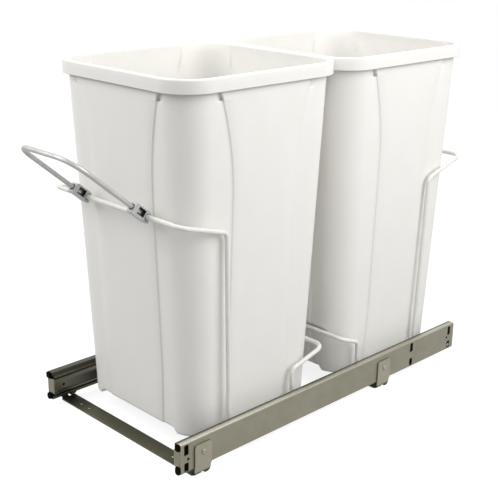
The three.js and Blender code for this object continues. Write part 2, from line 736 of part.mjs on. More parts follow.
// Closed skin through a list of levels, from the middle of the first to the middle of the last
function loft(levels) {
  const count = levels[0].length;
  const middle = (level) => new THREE.Vector3(0, 0, level[0].z);
  const vertices = [middle(levels[0]), ...levels.flat(), middle(levels.at(-1))];
  const index = [];
  for (let i = 0; i < count; i += 1) {
    const next = (i + 1) % count;
    index.push(0, 1 + i, 1 + next);
    for (let row = 0; row < levels.length - 1; row += 1) {
      const [upper, lower] = [1 + row * count, 1 + (row + 1) * count];
      index.push(upper + i, lower + i, lower + next, upper + i, lower + next, upper + next);
    }
    const last = 1 + (levels.length - 1) * count;
    index.push(last + i, vertices.length - 1, last + next);
  }
  const geometry = new THREE.BufferGeometry().setFromPoints(vertices);
  geometry.setIndex(index);
  geometry.computeVertexNormals();
  return geometry;
}

function binGeometry() {
  const relief = columnRelief;
  const wall = (height, options) => binLevel(height, bodySizes(height), { relief, ...options });
  const rim = (height, inset) => binLevel(height, rimSizes, { inset });
  const flareRows = [0, 0.45, 0.77].map((share) => (
    THREE.MathUtils.lerp(creaseFlareStart, pocketFloor - binWall, share)));
  const recess = (floor, inset) => [
    wall(floor, { inset }),
    wall(floor + pocketLedge, { inset, pocket: pocketDepth }),
    wall(binRimBottom, { inset, pocket: pocketDepth }),
    wall(binRimBottom + pocketFade, { inset }),
  ];
  const inside = [
    wall(binFloorTop, { inset: binWall + binFloorFillet }),
    wall(binFloorTop + binFloorFillet, { inset: binWall }),
    ...flareRows.map((height) => wall(height, { inset: binWall })),
    ...recess(pocketFloor - binWall, binWall),
  ];
  const rimJoin = binRimHalf[0] - binTopHalf[0] + binWall; // from the rim's outer face to the inner wall
  const lip = [
    rim(binRimTop - binRimRound, rimJoin - binRimRound / 2),
    rim(binRimTop, rimJoin - binRimRound),
    rim(binRimTop, binRimRound),
    rim(binRimTop - binRimRound, 0),
    rim(binRimBottom, 0),
    rim(binRimBottom, binRimWall),
    rim(binRimBottom + binChannel, binRimWall),
  ];
  const outside = [
    wall(binRimBottom + binChannel, {}),
    ...recess(pocketFloor, 0).reverse(),
    ...flareRows.toReversed().map((height) => wall(height, {})),
    wall(binUnderside + footEdge, { footHeight: binFoot + footEdge }),
    wall(binUnderside, { inset: footEdge, footHeight: binFoot }),
    wall(binUnderside, { inset: footWidth, footHeight: binFoot }),
    wall(binUnderside + floorRecess, { inset: footWidth + floorRecess }),
  ];
  return loft([...inside, ...lip, ...outside]);
}

// ------------------------------------------------------------------ assembly

const zinc = [0x98958a, 0.42, 0.85];
const darkZinc = [0x5b5a4d, 0.5, 0.8];
const ballSteel = [0xb9b9b4, 0.25, 1];
const blackPlastic = [0x15140f, 0.55, 0];
const whiteCoat = [0xf3f2ec, 0.4, 0];
const whitePlastic = [0xefece4, 0.38, 0];
const greyWire = [0xb4b7b7, 0.3, 0.7];
const greyPlastic = [0x9aa09f, 0.5, 0.1];

const group = new THREE.Group();

// The part's origin is under the middle of the front cross strip
const unit = new THREE.Group();
unit.position.set(0, -stripCentre, stripDrop);
group.add(unit);

function add(parent, name, geometry, [color, roughness, metalness]) {
  const material = new THREE.MeshStandardMaterial({ color, roughness, metalness });
  const mesh = new THREE.Mesh(geometry, material);
  mesh.name = name;
  parent.add(mesh);
  return mesh;
}

const sides = { left: -1, right: 1 };
const strips = { front: 0, rear: stripPitch };

for (const [hand, side] of Object.entries(sides)) {
  add(unit, `${hand}_cabinet_member`, cabinetMember(side), zinc);
  add(unit, `${hand}_intermediate_member`, intermediateMember(side), zinc);
  add(unit, `${hand}_drawer_member`, drawerMember(side), zinc);
  for (const [layer, sizes] of Object.entries(retainers)) {
    add(unit, `${hand}_${layer}_ball_retainer`, ballRetainer(side, sizes), ballSteel);
  }
  add(unit, `${hand}_upper_front_bumper`, frontBumper(side, 1), blackPlastic);
  add(unit, `${hand}_lower_front_bumper`, frontBumper(side, -1), blackPlastic);
  for (const [place, shift] of Object.entries(strips)) {
    add(unit, `${hand}_${place}_rivet`, plateRivet(side, shift), zinc);
  }
  add(unit, `${hand}_side_rail`, sideRail(side), whiteCoat);
  ['front', 'middle', 'rear'].forEach((place, i) => {
    add(unit, `${hand}_${place}_rail_screw`, railScrew(side, railScrewPlaces[i]), zinc);
  });
}

for (const [place, shift] of Object.entries(strips)) {
  add(unit, `${place}_cross_strip`, crossStrip(shift), darkZinc);
}

add(unit, 'front_hoop', hoopWire({
  leg: frontLeg, shoulder: frontShoulder, bar: frontBar, half: hoopHalf,
}), whiteCoat);
add(unit, 'rear_hoop', hoopWire({
  leg: rearLeg, shoulder: rearShoulder, bar: rearBar, half: hoopHalf,
}), whiteCoat);
add(unit, 'front_bin_keeper_wire', keeperWire({
  leg: frontKeeperLeg.map((reach) => frontBinCentre + reach),
  shoulder: frontKeeperShoulder,
  bar: [frontBinCentre + keeperReach, frontKeeperHeight],
}), whiteCoat);
add(unit, 'rear_bin_keeper_wire', keeperWire({
  leg: rearKeeperLeg.map((reach) => rearBinCentre - reach),
  shoulder: rearKeeperShoulder,
  bar: [rearBinCentre - keeperReach, rearKeeperHeight],
}), whiteCoat);

const handle = new THREE.Group();
handle.position.set(0, frontBar[0], frontBar[1]);
handle.rotation.x = THREE.MathUtils.degToRad(-handleAngle);
unit.add(handle);
add(handle, 'handle_bail', handleBail(), greyWire);
for (const [hand, side] of Object.entries(sides)) {
  add(handle, `${hand}_handle_clamp`, handleClamp(side), greyPlastic);
}

['front', 'rear'].forEach((place, i) => {
  const bin = add(unit, `${place}_bin`, binGeometry(), whitePlastic);
  bin.position.y = binCentres[i];
  ['front', 'rear'].forEach((end, k) => {
    const y = binCentres[i] + (k ? floorWireOffset : -floorWireOffset);
    add(unit, `${place}_bin_${end}_floor_wire`, floorWire(y), whiteCoat);
  });
});

export default group;
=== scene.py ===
"""Looks of the pull-out waste unit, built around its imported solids.

Sizes of shapes are millimetres in the slides' own frame, as in the part's source: X to the right,
Y to the rear from the slides' front end, Z up from their bottom edge. at() turns them into the
row frame. The finishes of the materials are placed in the row frame itself, in metres.
"""

import math

import bpy
from mathutils import Matrix, Vector


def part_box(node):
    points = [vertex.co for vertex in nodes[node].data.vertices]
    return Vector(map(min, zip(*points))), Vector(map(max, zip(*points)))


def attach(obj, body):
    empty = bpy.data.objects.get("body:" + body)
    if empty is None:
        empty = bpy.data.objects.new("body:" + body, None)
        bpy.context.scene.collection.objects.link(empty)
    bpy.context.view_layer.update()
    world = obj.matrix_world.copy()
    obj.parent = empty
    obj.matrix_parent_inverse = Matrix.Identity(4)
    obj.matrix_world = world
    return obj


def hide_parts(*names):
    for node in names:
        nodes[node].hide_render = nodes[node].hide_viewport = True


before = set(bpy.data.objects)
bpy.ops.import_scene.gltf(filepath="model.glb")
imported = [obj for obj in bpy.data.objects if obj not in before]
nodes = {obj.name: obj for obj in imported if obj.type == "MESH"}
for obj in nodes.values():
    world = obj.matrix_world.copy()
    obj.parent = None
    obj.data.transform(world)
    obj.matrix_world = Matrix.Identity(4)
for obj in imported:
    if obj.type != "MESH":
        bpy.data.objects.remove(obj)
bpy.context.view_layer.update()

MM = 0.001
STRIP_CENTRE = 30.5  # where the row frame's origin lies in the slides' frame
STRIP_DROP = 9.4


def at(x, y, z):
    return Vector((x * MM, (y - STRIP_CENTRE) * MM, (z + STRIP_DROP) * MM))


# ------------------------------------------------------------------ shader nodes


def node_tree(name):
    material = bpy.data.materials.new(name)
    material.use_nodes = True
    tree = material.node_tree
    tree.nodes.clear()
    return material, tree


def make(tree, kind, **values):
    """A node with its sockets and settings filled in by name."""
    node = tree.nodes.new(kind)
    for key, value in values.items():
        if key in node.inputs:
            node.inputs[key].default_value = value
        else:
            setattr(node, key, value)
    return node


def blend(tree, fac, a, b):
    """Colour a where fac is 0 and b where it is 1. Either is a constant or an output."""
    node = make(tree, "ShaderNodeMix", data_type="RGBA")
    for key, value in (("A", a), ("B", b)):
        if isinstance(value, tuple):
            node.inputs[key].default_value = (*value, 1)
        else:
            tree.links.new(value, node.inputs[key])
    tree.links.new(fac, node.inputs["Factor"])
    return node.outputs["Result"]


def noise(tree, coordinates, scale, detail, roughness=0.5, stretch=None):
    if stretch:
        mapping = make(tree, "ShaderNodeMapping", Scale=stretch)
        tree.links.new(coordinates, mapping.inputs["Vector"])
        coordinates = mapping.outputs["Vector"]
    node = make(
        tree, "ShaderNodeTexNoise", Scale=scale, Detail=detail, Roughness=roughness
    )
    tree.links.new(coordinates, node.inputs["Vector"])
    return node.outputs["Fac"]


def spread(tree, fac, low, high, start=0.3, end=0.7):
    """low up to the start, high past the end, and an even run between them."""
    node = make(
        tree,
        "ShaderNodeMapRange",
        **{"From Min": start, "From Max": end, "To Min": low, "To Max": high},
    )
    tree.links.new(fac, node.inputs["Value"])
    return node.outputs["Result"]


def cloudy(tree, fac, a, b):
    """Noise that wanders from colour a to colour b."""
    return blend(tree, spread(tree, fac, 0, 1), a, b)


def axis_of(tree, vector, axis):
    node = make(tree, "ShaderNodeSeparateXYZ")
    tree.links.new(vector, node.inputs[0])
    return node.outputs[axis]


def calc(tree, operation, *values):
    node = make(tree, "ShaderNodeMath", operation=operation)
    for i, value in enumerate(values):
        if isinstance(value, (int, float)):
            node.inputs[i].default_value = value
        else:
            tree.links.new(value, node.inputs[i])
    return node.outputs[0]


def both(tree, a, b):
    """The part of the surface that lies in two masks."""
    return calc(tree, "MULTIPLY", a, b)


def beyond(tree, value, edge, fade=0.0005):
    """0 below the edge and 1 above it."""
    return spread(tree, value, 0, 1, edge - fade, edge + fade)


def outside(tree, mask):
    return calc(tree, "SUBTRACT", 1.0, mask)


def size_of(tree, value):
    return calc(tree, "ABSOLUTE", value)


# painted shade in recesses: its darkest colour, and the openness over which it fades
RECESS_SHADE_COLOUR = (0.012, 0.011, 0.008)
RECESS_SHADE_SPAN = (0.25, 0.75)


def shade_recesses(tree, colour, reach, dark=RECESS_SHADE_COLOUR, span=RECESS_SHADE_SPAN, samples=8):
    """Painted shade: darkens the colour where near walls close round a point, as shade falls in a
    groove, crease or corner.

    reach is how far a wall is felt, and span the openness at which the colour is all shaded and
    all unshaded.
    """
    shade = make(tree, "ShaderNodeAmbientOcclusion", Distance=reach, samples=samples)
    return blend(tree, spread(tree, shade.outputs["AO"], 0, 1, *span), dark, colour)


def bumps(tree, layers):
    """Bump layers, each (height, strength, distance in metres), one on top of the other."""
    normal = None
    for height, strength, distance in layers:
        node = make(tree, "ShaderNodeBump", Strength=strength, Distance=distance)
        tree.links.new(height, node.inputs["Height"])
        if normal:
            tree.links.new(normal, node.inputs["Normal"])
        normal = node.outputs["Normal"]
    return normal


# ------------------------------------------------------------------ kinds of material


def surface(name, build, constants):
    """A Principled material: build(tree, coordinates) gives (colour, roughness, normal) outputs."""
    material, tree = node_tree(name)
    coordinates = make(tree, "ShaderNodeTexCoord").outputs["Object"]
    shader = make(tree, "ShaderNodeBsdfPrincipled", **constants)
    colour, rough, normal = build(tree, coordinates)
    tree.links.new(colour, shader.inputs["Base Color"])
    tree.links.new(rough, shader.inputs["Roughness"])
    tree.links.new(normal, shader.inputs["Normal"])
    output = tree.nodes.new("ShaderNodeOutputMaterial")
    tree.links.new(shader.outputs["BSDF"], output.inputs["Surface"])
    return material


# Scales of noise are in cells a metre. A bump layer is (height, strength, distance in metres).


def moulded(colour, tint, rough, wave_depth=0.0006, recess_shade=None):
    """Moulded plastic: fine grain, slow sink marks, a faint change of tint and, where it is given,
    painted shade in corners and creases.
    """

    def build(tree, coordinates):
        waves = noise(tree, coordinates, 9, 2)
        grain = noise(tree, coordinates, 1800, 2)
        cloud = noise(tree, coordinates, 26, 4, 0.6)
        plastic = cloudy(tree, cloud, colour, tint)
        # painted shade in corners, creases and pockets
        if recess_shade:
            plastic = shade_recesses(tree, plastic, *recess_shade)
        return (
            plastic,
            spread(tree, cloud, rough - 0.05, rough + 0.07),
            bumps(tree, [(waves, 0.12, wave_depth), (grain, 0.25, 0.00003)]),
        )

    return build


def coated(colour, tint, rough):
    """Powder coat on wire: orange peel, a few thicker spots, faint tint."""

    def build(tree, coordinates):
        peel = noise(tree, coordinates, 420, 2)
        spots = noise(tree, coordinates, 60, 3, 0.6)
        return (
            cloudy(tree, spots, colour, tint),
            spread(tree, spots, rough - 0.06, rough + 0.08),
            bumps(tree, [(peel, 0.3, 0.00012), (spots, 0.15, 0.0002)]),
        )

    return build


ALONG_SLIDE = (1.0, 0.02, 1.0)  # stretches the rolling lines lengthwise
ALONG_STRIP = (0.02, 1.0, 1.0)
SCRATCH_STRETCH = (1.0, 0.15, 1.0)


def rolled(colour, tint, rough, along=ALONG_SLIDE, recess_shade_reach=0.0, finish=None):
    """Plated rolled steel: fine lines along the strip, cloudy plating and small scratches, with
    painted shade in recesses where a reach for it is given.
    """

    def build(tree, coordinates):
        lines = noise(tree, coordinates, 1500, 3, 0.6, stretch=along)
        cloud = noise(tree, coordinates, 38, 4, 0.6)
        scratch = noise(tree, coordinates, 240, 5, 0.7, stretch=SCRATCH_STRETCH)
        plating = cloudy(tree, cloud, colour, tint)
        # the finish paints light and shade by place on some parts
        if finish:
            plating = finish(tree, coordinates, plating)
        return (
            # painted shade in recesses
            shade_recesses(tree, plating, recess_shade_reach) if recess_shade_reach else plating,
            spread(tree, scratch, rough - 0.06, rough + 0.08),
            bumps(tree, [(cloud, 0.05, 0.0003), (lines, 0.2, 0.00003)]),
        )

    return build


# ------------------------------------------------------------------ finishes of the steel parts, with painted light and shade

ZINC = (0.285, 0.27, 0.205)

# Cabinet member: its outer faces lie past SLIDE_FACE, and its upper bend past BEND_REACH and
# above BEND_LEVEL.
SLIDE_FACE = 0.1393
SLIDE_REFLECTION_LIP = 0.006  # on the right slide the plating reaches this much further in, leaving the inner faces near its web, across the upper flange, light as a painted reflection where the left slide's are in painted shade
BEND_LEVEL = 0.0494
BEND_REACH = 0.1355
BEND_HIGHLIGHT_FADE = (1, 0.35, -0.03, 0.4)  # share of the painted highlight at the front and rear, and where its fade starts and ends
# painted shade on the faces inside the slide
SLIDE_PAINTED_SHADE = (0.062, 0.059, 0.042)
# painted highlight along the upper outer bend
SLIDE_PAINTED_HIGHLIGHT = (0.66, 0.64, 0.56)


def slide_painted_light(tree, coordinates, plating):
    """Painted highlight along the upper bend, fading to the rear, and painted shade on the faces
    inside the slide.
    """
    x = axis_of(tree, coordinates, "X")
    top = beyond(tree, axis_of(tree, coordinates, "Z"), BEND_LEVEL)
    fade = spread(tree, axis_of(tree, coordinates, "Y"), *BEND_HIGHLIGHT_FADE)
    bend = both(tree, top, beyond(tree, x, BEND_REACH))
    # painted highlight on the upper bend, fading towards the rear
    plating = blend(tree, both(tree, bend, fade), plating, SLIDE_PAINTED_HIGHLIGHT)
    # inside the slide the colour is painted shade; on the right slide the faces near the web keep
    # the plating as a painted reflection
    reach = calc(tree, "MAXIMUM", size_of(tree, x), calc(tree, "ADD", x, SLIDE_REFLECTION_LIP))
    return blend(tree, beyond(tree, reach, SLIDE_FACE), SLIDE_PAINTED_SHADE, plating)


# Cross strip: the upturned plates keep the plating on their faces, with painted shade on their
# front edges and lower bends; the run under the slides is in painted shade.
STRIP_FRONTS = [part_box(f"{place}_cross_strip")[0][1] for place in ("front", "rear")]
STRIP_EDGE = 0.0013
PLATE_FACE = 0.1412
PLATE_BEND = 0.0042
RUN_HALF = 0.1385
RUN_SHADE_FADE = (0.085, 0.12)  # where the painted shade on the run under the slides starts to deepen, and where it is deepest
RUN_SHADE_MIDDLE = (0.14, 0.135, 0.092)
RUN_SHADE_ENDS = (0.068, 0.066, 0.046)
PLATE_EDGE_SHADE = (0.06, 0.058, 0.04)


def strip_painted_shade(tree, coordinates, plating):
    """Plating on the faces of the upturned plates; painted shade on their edges and lower bends and
    on the run under the slides.
    """
    reach = size_of(tree, axis_of(tree, coordinates, "X"))
    height = axis_of(tree, coordinates, "Z")
    face = both(tree, beyond(tree, reach, PLATE_FACE), beyond(tree, height, PLATE_BEND, 0.001))
    for front in STRIP_FRONTS:
        past = calc(tree, "SUBTRACT", axis_of(tree, coordinates, "Y"), front)
        face = both(tree, face, beyond(tree, size_of(tree, past), STRIP_EDGE, 0.0002))
    # painted shade on the run, deeper towards the slides, and on the plates' edges and lower bends
    run = blend(tree, spread(tree, reach, 0, 1, *RUN_SHADE_FADE), RUN_SHADE_MIDDLE, RUN_SHADE_ENDS)
    strip_shade = blend(tree, beyond(tree, reach, RUN_HALF), run, PLATE_EDGE_SHADE)
    return blend(tree, face, strip_shade, plating)


# Drawer member: past is measured from its front end, and rise from its middle height.
DRAWER_LOW, DRAWER_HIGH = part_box("left_drawer_member")
DRAWER_FRONT = DRAWER_LOW[1]
DRAWER_MIDDLE = (DRAWER_LOW[2] + DRAWER_HIGH[2]) / 2
DRAWER_FACE = -DRAWER_HIGH[0] + 0.0006  # halfway through its sheet
DRAWER_TAB = 0.0018
DRAWER_FLAT = 0.0085  # half the height of the flat between its flanges
# spans over which the painted light and shade fade in, towards the rear and upwards
DRAWER_FAR = (0.022, 0.08)
DRAWER_UPPER = (0.0025, 0.0075)
# colours of the painted light on the upper half, the painted shade below it, and the painted light
# on the front tab
DRAWER_PAINTED_LIGHT = (0.33, 0.32, 0.26)
DRAWER_PAINTED_SHADE = (0.006, 0.005, 0.003)
DRAWER_TAB_PAINTED_LIGHT = (0.36, 0.35, 0.27)


def drawer_light_and_shade(tree, coordinates, plating):
    """Painted light at the front end and along the upper half, painted shade below it towards the
    rear; the outer side of the web keeps plain zinc.
    """
    past = calc(tree, "SUBTRACT", axis_of(tree, coordinates, "Y"), DRAWER_FRONT)
    rise = calc(tree, "SUBTRACT", axis_of(tree, coordinates, "Z"), DRAWER_MIDDLE)
    far = spread(tree, past, 0, 1, *DRAWER_FAR)
    high = spread(tree, rise, 0, 1, *DRAWER_UPPER)
    # painted light along the upper half and painted shade below it, towards the rear
    plating = blend(tree, both(tree, far, high), plating, DRAWER_PAINTED_LIGHT)
    plating = blend(tree, both(tree, far, outside(tree, high)), plating, DRAWER_PAINTED_SHADE)
    plating = blend(tree, beyond(tree, past, DRAWER_TAB), DRAWER_TAB_PAINTED_LIGHT, plating)
    reach = size_of(tree, axis_of(tree, coordinates, "X"))
    flange = beyond(tree, size_of(tree, rise), DRAWER_FLAT)
    outer = both(tree, beyond(tree, reach, DRAWER_FACE, 0.0002), outside(tree, flange))
    return blend(tree, outer, plating, ZINC)


# ------------------------------------------------------------------ materials

# painted shade in recesses, as (reach, colour, span, samples)
BIN_RECESS_SHADE = (0.005, (0.36, 0.345, 0.30), (0.5, 0.93), 6)
CLAMP_RECESS_SHADE = (0.009, (0.012, 0.013, 0.013), (0.55, 0.82))

FINISHES = {
    # how a material is built, and what is the same all over it
    # painted shade in the bins' creases, pockets and corners
    "bin_plastic": (
        moulded((0.905, 0.892, 0.85), (0.925, 0.912, 0.875), 0.42, recess_shade=BIN_RECESS_SHADE),
        {"Metallic": 0.0, "IOR": 1.49},
    ),
    "white_coat": (
        coated((0.84, 0.835, 0.79), (0.88, 0.875, 0.84), 0.36),
        {"Metallic": 0.0, "IOR": 1.5},
    ),
    # slide members: the painted highlight and painted shade of their finish, and painted shade in
    # recesses
    "slide_zinc": (
        rolled(ZINC, (0.33, 0.315, 0.25), 0.4, recess_shade_reach=0.005, finish=slide_painted_light),
        {"Metallic": 0.7},
    ),
    # intermediate member: a darkened copy of the zinc, painted shade inside the slide, with painted
    # shade in its recesses
    "race_zinc_painted_shade": (
        rolled((0.10, 0.095, 0.07), (0.14, 0.135, 0.10), 0.3, recess_shade_reach=0.007),
        {"Metallic": 0.8},
    ),
    # drawer member: its inner side is a darkened copy of the zinc, painted shade, under the painted
    # light and shade of its finish
    "drawer_zinc_light_and_shade": (
        rolled((0.12, 0.115, 0.085), (0.16, 0.155, 0.115), 0.3, recess_shade_reach=0.003, finish=drawer_light_and_shade),
        {"Metallic": 0.6, "Specular IOR Level": 0.1},
    ),
    # cross strips: the painted shade of their finish on the run, the plates' edges and lower bends
    "strip_zinc": (
        rolled((0.36, 0.34, 0.255), (0.4, 0.38, 0.3), 0.42, ALONG_STRIP, finish=strip_painted_shade),
        {"Metallic": 0.6},
    ),
    "fastener_zinc": (
        rolled((0.33, 0.32, 0.27), (0.4, 0.39, 0.34), 0.3),
        {"Metallic": 0.8},
    ),
    # retainer balls: painted shade in their recesses
    "ball_steel": (
        rolled((0.4, 0.4, 0.37), (0.5, 0.5, 0.47), 0.24, recess_shade_reach=0.004),
        {"Metallic": 1.0},
    ),
    "black_plastic": (
        moulded((0.002, 0.002, 0.0015), (0.005, 0.0045, 0.0035), 0.5),
        {"Metallic": 0.0, "Specular IOR Level": 0.02},
    ),
    "handle_wire": (
        coated((0.5, 0.5, 0.485), (0.58, 0.58, 0.565), 0.36),
        {"Metallic": 0.45},
    ),
    # painted shade, near black, in the clamps' pockets
    "clamp_plastic": (
        moulded((0.52, 0.54, 0.53), (0.6, 0.62, 0.61), 0.34, wave_depth=0.0001, recess_shade=CLAMP_RECESS_SHADE),
        {"Metallic": 0.0},
    ),
}
MATERIALS = {name: surface(name, *finish) for name, finish in FINISHES.items()}


def assign(obj, slot, look=None):
    """Gives obj the slot's material, or another look in its place."""
    obj.data.materials.clear()
    obj.data.materials.append(MATERIALS[look or slot])


# ------------------------------------------------------------------ shape helpers


def piece(name, vertices, faces, body, slot, stands_for=(), sharp=32):
    """A new mesh that rides a body. Edges over the angle sharp, in degrees, stay hard."""
    mesh = bpy.data.meshes.new(name)
    mesh.from_pydata([at(*v) for v in vertices], [], faces)
    mesh.validate()
    mesh.shade_smooth()
    mesh.set_sharp_from_angle(angle=math.radians(sharp))
    obj = bpy.data.objects.new(name, mesh)
    bpy.context.scene.collection.objects.link(obj)
    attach(obj, body)
    if stands_for:
        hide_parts(*stands_for)
    assign(obj, slot)
    return obj


BEND_STEPS = 12
WIRE = 6
WIRE_SIDES = 20
WIRE_END = 0.6  # rounding at a wire's ends


def rounded_path(corners):
    """Corners are (x, y, z) or (x, y, z, radius)."""
    points = [Vector(c[:3]) for c in corners]
    path = []
    for i, corner in enumerate(points):
        radius = corners[i][3] if len(corners[i]) > 3 else 0
        if i in (0, len(points) - 1) or not radius:
            path.append(corner)
            continue
        back = (points[i - 1] - corner).normalized()
        on = (points[i + 1] - corner).normalized()
        half = back.angle(on) / 2
        centre = corner + (back + on).normalized() * (radius / math.sin(half))
        start = corner + back * (radius / math.tan(half)) - centre
        end = corner + on * (radius / math.tan(half)) - centre
        sweep = math.pi - 2 * half
        for k in range(BEND_STEPS + 1):
            share = k / BEND_STEPS
            path.append(
                centre
                + start * (math.sin((1 - share) * sweep) / math.sin(sweep))
                + end * (math.sin(share * sweep) / math.sin(sweep))
            )
    return path


def tube_mesh(path):
    """Rings along a path, with the ends rounded over."""
    radius = WIRE / 2
    sides = WIRE_SIDES
    first = (path[1] - path[0]).normalized()
    last = (path[-1] - path[-2]).normalized()
    stations = [
        (path[0], radius - WIRE_END),
        (path[0] + first * WIRE_END, radius),
        *[(p, radius) for p in path[1:-1]],
        (path[-1] - last * WIRE_END, radius),
        (path[-1], radius - WIRE_END),
    ]
    vertices, faces = [], []
    side = first.orthogonal().normalized()
    for i, (point, size) in enumerate(stations):
        back = stations[max(i - 1, 0)][0]
        on = stations[min(i + 1, len(stations) - 1)][0]
        along = (on - back).normalized()
        side = (side - along * side.dot(along)).normalized()
        up = along.cross(side)
        for k in range(sides):
            turn = 2 * math.pi * k / sides
            vertices.append(
                point + side * (size * math.cos(turn)) + up * (size * math.sin(turn))
            )
    rings = len(stations)
    for i in range(rings - 1):
        for k in range(sides):
            a, b = i * sides + k, i * sides + (k + 1) % sides
            faces.append((a, b, b + sides, a + sides))
    faces.append(tuple(reversed(range(sides))))
    faces.append(tuple((rings - 1) * sides + k for k in range(sides)))
    return vertices, faces


def both_ways(half):
    """The right half of a path and its mirror image."""
    return half + [(-c[0], *c[1:]) for c in reversed(half)]


def wire(name, corners, body="carriage", slot="white_coat"):
    vertices, faces = tube_mesh(rounded_path(corners))
    return piece(name + "_smooth", vertices, faces, body, slot, (name,))


# ------------------------------------------------------------------ wires

RAIL_FACE = 125.1
RAIL_GAP = 0.3
LEG_HALF = RAIL_FACE - RAIL_GAP - WIRE / 2
FOOT = 9
HOOP_HALF = 125
KEEPER_HALF = 122.5
KNEE = 40  # height where a tall hoop's legs start to lean
KNEE_RADIUS = 30
SHOULDER_RADIUS = 9
BAR_RADIUS = 13


def hoop(name, leg, shoulder, bar):
    """A tall hoop: leg is its Y at the foot and at the shoulder, bar the bar's Y and Z."""
    half = [
        (LEG_HALF, leg[0], FOOT),
        (LEG_HALF, leg[0], KNEE, KNEE_RADIUS),
        (HOOP_HALF, leg[1], shoulder, SHOULDER_RADIUS),
        (HOOP_HALF, bar[0], bar[1], BAR_RADIUS),
    ]
    wire(name, both_ways(half))


def keeper(name, leg, shoulder, bar):
    """A low hoop that holds a bin's foot in place."""
    half = [
        (LEG_HALF, leg[0], FOOT),
        (LEG_HALF, leg[1], shoulder, SHOULDER_RADIUS),
        (KEEPER_HALF, bar[0], bar[1], BAR_RADIUS),
    ]
    wire(name, both_ways(half))


FRONT_BAR = (17.3, 304)
hoop("front_hoop", (96.3, 88), 284, FRONT_BAR)
hoop("rear_hoop", (480.5, 487), 282, (562, 305))
keeper("front_bin_keeper_wire", (212.6, 211.2), 66, (272.1, 83))
keeper("rear_bin_keeper_wire", (347.2, 347), 65.5, (311.4, 79.5))

BIN_CENTRES = {"front": 154.6, "rear": 428.9}
FLOOR_WIRE_HEIGHT = 18.6
FLOOR_WIRE_SHIFTS = {"front": -40, "rear": 40}  # from the middle of the bin
for place, centre in BIN_CENTRES.items():
    for end, shift in FLOOR_WIRE_SHIFTS.items():
        reach = RAIL_FACE - RAIL_GAP
        wire(
            f"{place}_bin_{end}_floor_wire",
            [(x, centre + shift, FLOOR_WIRE_HEIGHT) for x in (-reach, reach)],
        )

HANDLE_TILT = math.radians(39.7)
# half width and reach from the bar's centre, with the radius of the bend
HANDLE_CORNERS = [(59, -10, 0), (59, -28, 40), (55.8, -126.2, 29)]


def on_handle(x, y, z):
    """A point drawn level about the front bar, in the tilted handle's place."""
    c, s = math.cos(-HANDLE_TILT), math.sin(-HANDLE_TILT)
    return (x, FRONT_BAR[0] + c * y - s * z, FRONT_BAR[1] + s * y + c * z)


bail = both_ways([(*on_handle(x, y, 0), radius) for x, y, radius in HANDLE_CORNERS])
wire("handle_bail", bail, "handle", "handle_wire")

# ------------------------------------------------------------------ rivets

RIVET_SIDES = 24
RIVET_HEAD = 1.7  # height of the head
RIVET_EDGE = 0.2  # rounding where the head meets the plate
RIVET_BRIM = 0.3  # height of the head's straight edge
RIVET_INSET = 0.05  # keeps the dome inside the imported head
DOME_STEPS = 8
DOME_TURN = 12  # degrees between the dome's rings
DOME_HEIGHT = 0.9957  # sine at which the dome's height is taken as full


def rivet(name):
    """A domed head on a short shank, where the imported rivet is."""
    low, high = (Vector(corner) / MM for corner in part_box(name))
    side = 1 if low.x > 0 else -1
    if side > 0:
        tip, tail = high.x - RIVET_INSET, low.x
    else:
        tip, tail = low.x + RIVET_INSET, high.x
    y, z = (low.y + high.y) / 2 + STRIP_CENTRE, (low.z + high.z) / 2 - STRIP_DROP
    radius = (high.z - low.z) / 2
    shank = radius * 0.5
    profile = [  # distance from the axis, place along it
        (0, tail),
        (shank, tail),
        (shank, tip - side * RIVET_HEAD),
        (radius - RIVET_EDGE, tip - side * RIVET_HEAD),
        (radius, tip - side * (RIVET_HEAD - RIVET_EDGE)),
    ]
    for k in range(DOME_STEPS):
        turn = math.radians(DOME_TURN * (k + 0.4))
        drop = (RIVET_HEAD - RIVET_BRIM) * (1 - math.sin(turn) / DOME_HEIGHT)
        profile.append((radius * math.cos(turn), tip - side * drop))
    sides = RIVET_SIDES
    vertices, faces = [(profile[0][1], y, z)], []
    for out, along in profile[1:]:
        for k in range(sides):
            turn = 2 * math.pi * k / sides
            vertices.append((along, y + out * math.cos(turn), z + out * math.sin(turn)))
    vertices.append((tip, y, z))
    rows = len(profile) - 1
    for k in range(sides):
        on = (k + 1) % sides
        faces.append((0, 1 + on, 1 + k))
        for row in range(rows - 1):
            a, b = 1 + row * sides, 1 + (row + 1) * sides
            faces.append((a + k, a + on, b + on, b + k))
        last = 1 + (rows - 1) * sides
        faces.append((last + k, last + on, len(vertices) - 1))
    if side < 0:
        faces = [tuple(reversed(face)) for face in faces]
    return piece(name + "_dome", vertices, faces, "base_frame", "fastener_zinc", (name,), 40)


for name in [name for name in nodes if name.endswith("_rivet")]:
    rivet(name)

# ------------------------------------------------------------------ bins

BIN_FOOT = 15.2
BIN_UNDERSIDE = 21.9
BIN_RIM_TOP = 469
BIN_RIM_BOTTOM = 452.6
RIM_HALF, RIM_RADIUS = (129.2, 136.7), 45
TOP_HALF, TOP_RADIUS = (123.8, 131.5), 43
BOTTOM_HALF, BOTTOM_RADIUS = (112.2, 110.7), 37
WALL = 2.4
RELIEF = 1.5  # how far the panels stand out past the columns at the corners
POCKET_FLOOR = 441
POCKET_WIDTH = 12
POCKET_DEPTH = 2.8
POCKET_WALL = 1.6
INNER_RELIEF = 0.5  # shares of the relief and of a pocket that show inside
INNER_POCKET = 0.35
FOOT_RAMP = (19, 8)  # where the raised edge ends past a crease, and the run down to the foot

